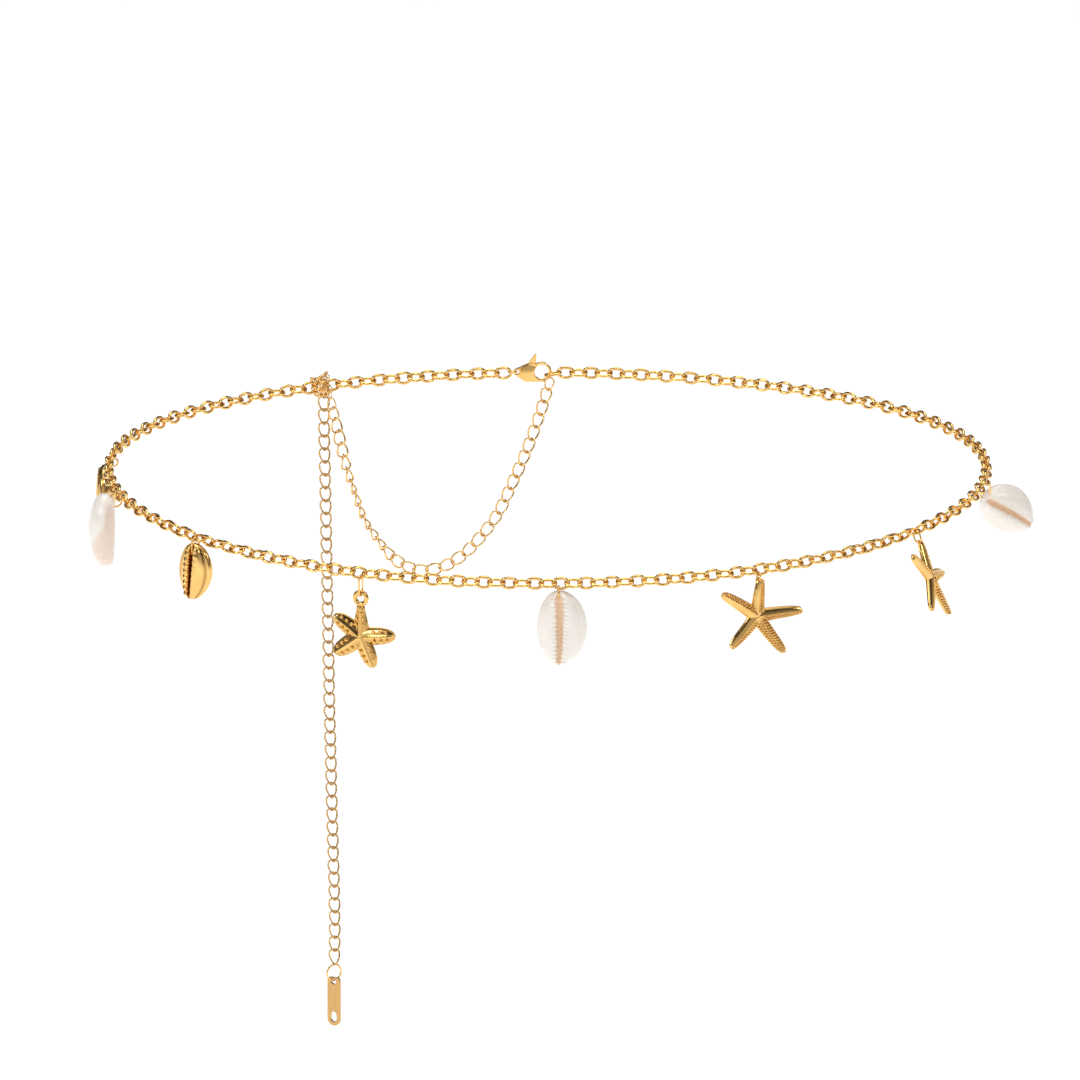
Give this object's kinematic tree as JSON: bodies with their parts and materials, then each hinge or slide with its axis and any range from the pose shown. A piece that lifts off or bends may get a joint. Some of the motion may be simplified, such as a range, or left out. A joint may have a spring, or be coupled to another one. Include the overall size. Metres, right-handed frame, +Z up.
{
  "type": "waist chain",
  "caption": "Gold-plated oval-link waist chain with shell and starfish charms, a lobster clasp and a long fine extender ending in a small tag.",
  "frame": {"origin": "middle of the chain loop, level with the links at its front and back, on the axis of the waist that it is worn round", "axes": "+X to the wearer's left as the picture's right, along the loop's width; +Y to the back, where the clasp is; +Z up along the waist"},
  "size_m": [0.2985, 0.2331, 0.2219],
  "materials": {
    "polished_gold": "polished gold plate",
    "satin_gold": "satin gold plate",
    "shell": "natural cowrie shell, soft sheen"
  },
  "bodies": {
    "chain": {"main_chain_right": "polished_gold", "main_chain_left": "polished_gold", "end_link": "polished_gold", "clasp_body": "polished_gold", "clasp_ring": "polished_gold", "extender_swag": "polished_gold", "extender_drop": "polished_gold", "tag_ring": "polished_gold", "tag_plate": "satin_gold", "white_shell_front": "shell", "white_shell_left": "shell", "white_shell_right": "shell", "gold_shell_front": "polished_gold", "gold_shell_left": "polished_gold", "starfish_beaded": "polished_gold", "starfish_slender": "polished_gold", "starfish_slender_side": "polished_gold", "ring_white_front": "polished_gold", "ring_white_left": "polished_gold", "ring_white_right": "polished_gold", "ring_gold_front": "polished_gold", "ring_gold_left": "polished_gold", "ring_beaded": "polished_gold", "ring_slender": "polished_gold", "ring_slender_side": "polished_gold"},
    "lever": {"clasp_lever": "polished_gold"}
  },
  "joints": [
    {"name": "clasp_lever", "type": "hinge", "parent": "chain", "child": "lever", "pos_m": [-0.0048, 0.114, 0.00195], "axis": [0, 1, 0], "range_deg": [0, 25], "stiffness_Nm_per_rad": 0.001, "springref_deg": -5.73}
  ]
}
